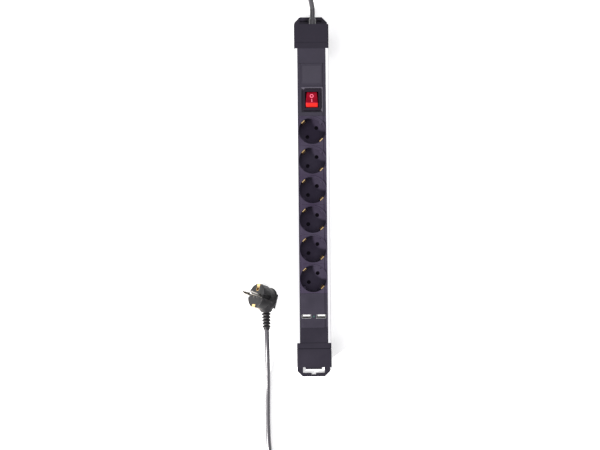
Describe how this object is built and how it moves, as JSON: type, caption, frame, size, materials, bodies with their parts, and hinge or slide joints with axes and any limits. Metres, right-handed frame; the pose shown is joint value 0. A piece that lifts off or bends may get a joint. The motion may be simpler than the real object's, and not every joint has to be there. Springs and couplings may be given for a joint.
{
  "type": "rack power strip",
  "caption": "Socket strip in an aluminium profile with round earthed sockets, red rocker switch, USB charging ports, slotted end flanges and a mains lead with angled plug.",
  "frame": {"origin": "centre of the strip's back face", "axes": "+X across the strip, +Y along it towards the end the cord leaves, +Z out of the socket face"},
  "size_m": [0.1659, 0.833, 0.0515],
  "materials": {
    "anodised_rail": "satin anodised",
    "cap_plastic": "fine grain",
    "face_plastic": "satin moulded",
    "insert_plastic": "satin moulded",
    "shutter_plastic": "satin",
    "label_film": "smooth film",
    "switch_black": "semi-gloss",
    "rocker_red": "translucent",
    "spring_brass": "rolled",
    "contact_brass": "rolled",
    "nickel_pin": "polished",
    "port_steel": "bright",
    "port_tongue": "smooth",
    "screw_steel": "zinc plated",
    "tray_plastic": "smooth",
    "holder_plastic": "smooth",
    "board_green": "lacquered",
    "winding_tape": "tape",
    "capacitor_sleeve": "sleeve",
    "led_green": "clear",
    "lamp_glass": "clear",
    "wire_brown": "smooth",
    "wire_blue": "smooth",
    "wire_green": "smooth",
    "cord_rubber": "matt",
    "plug_rubber": "fine grain"
  },
  "bodies": {
    "strip": {"aluminium_profile": "anodised_rail", "insulating_tray": "tray_plastic", "top_end_cap": "cap_plastic", "bottom_end_cap": "cap_plastic", "end_cap_screws": "screw_steel", "label_cover": "face_plastic", "rating_label": "label_film", "switch_frame": "face_plastic", "switch_housing": "switch_black", "switch_terminals": "contact_brass", "switch_lamp": "lamp_glass", "socket_insert_1": "insert_plastic", "socket_insert_2": "insert_plastic", "socket_insert_3": "insert_plastic", "socket_insert_4": "insert_plastic", "socket_insert_5": "insert_plastic", "socket_insert_6": "insert_plastic", "earth_bar": "spring_brass", "earth_bond_screw": "screw_steel", "live_bus_bar": "contact_brass", "neutral_bus_bar": "contact_brass", "bus_bar_holders": "holder_plastic", "usb_cover": "face_plastic", "usb_shell_left": "port_steel", "usb_shell_right": "port_steel", "usb_tongues": "port_tongue", "usb_circuit_board": "board_green", "usb_transformer": "winding_tape", "usb_capacitors": "capacitor_sleeve", "usb_led": "led_green", "led_light_guide": "led_green", "usb_wires": "wire_brown", "cord_boot": "cord_rubber", "cord_clamp": "holder_plastic", "cord_clamp_screws": "screw_steel", "cord_inner_length": "cord_rubber", "live_wire": "wire_brown", "neutral_wire": "wire_blue", "earth_wire": "wire_green", "mains_cord": "cord_rubber", "plug_body": "plug_rubber", "plug_pins": "nickel_pin", "plug_earth_contacts": "spring_brass", "plug_strain_relief": "plug_rubber"},
    "rocker": {"rocker": "rocker_red", "switch_plungers": "contact_brass"},
    "contact_arms": {"switch_contact_arms": "contact_brass"},
    "shutter_1": {"socket_shutter_1": "shutter_plastic"},
    "shutter_2": {"socket_shutter_2": "shutter_plastic"},
    "shutter_3": {"socket_shutter_3": "shutter_plastic"},
    "shutter_4": {"socket_shutter_4": "shutter_plastic"},
    "shutter_5": {"socket_shutter_5": "shutter_plastic"},
    "shutter_6": {"socket_shutter_6": "shutter_plastic"}
  },
  "joints": [
    {"name": "rocker_hinge", "type": "hinge", "parent": "strip", "child": "rocker", "pos_m": [0, 0.1398, 0.0375], "axis": [1, 0, 0], "range_deg": [0, 28]},
    {"name": "contact_arms_hinge", "type": "hinge", "parent": "strip", "child": "contact_arms", "pos_m": [0, 0.1398, 0.0211], "axis": [1, 0, 0], "range_deg": [-14, 0]},
    {"name": "shutter_1_turn", "type": "hinge", "parent": "strip", "child": "shutter_1", "pos_m": [0, 0.09485, 0.0225], "axis": [0, 0, 1], "range_deg": [0, 40], "stiffness_Nm_per_rad": 0.002, "springref_deg": -5.73},
    {"name": "shutter_2_turn", "type": "hinge", "parent": "strip", "child": "shutter_2", "pos_m": [0, 0.05165, 0.0225], "axis": [0, 0, 1], "range_deg": [0, 40], "stiffness_Nm_per_rad": 0.002, "springref_deg": -5.73},
    {"name": "shutter_3_turn", "type": "hinge", "parent": "strip", "child": "shutter_3", "pos_m": [0, 0.00845, 0.0225], "axis": [0, 0, 1], "range_deg": [0, 40], "stiffness_Nm_per_rad": 0.002, "springref_deg": -5.73},
    {"name": "shutter_4_turn", "type": "hinge", "parent": "strip", "child": "shutter_4", "pos_m": [0, -0.03475, 0.0225], "axis": [0, 0, 1], "range_deg": [0, 40], "stiffness_Nm_per_rad": 0.002, "springref_deg": -5.73},
    {"name": "shutter_5_turn", "type": "hinge", "parent": "strip", "child": "shutter_5", "pos_m": [0, -0.07795, 0.0225], "axis": [0, 0, 1], "range_deg": [0, 40], "stiffness_Nm_per_rad": 0.002, "springref_deg": -5.73},
    {"name": "shutter_6_turn", "type": "hinge", "parent": "strip", "child": "shutter_6", "pos_m": [0, -0.12115, 0.0225], "axis": [0, 0, 1], "range_deg": [0, 40], "stiffness_Nm_per_rad": 0.002, "springref_deg": -5.73}
  ],
  "couplings": [
    {"joint": "contact_arms_hinge", "follows": "rocker_hinge", "ratio": -0.5}
  ]
}
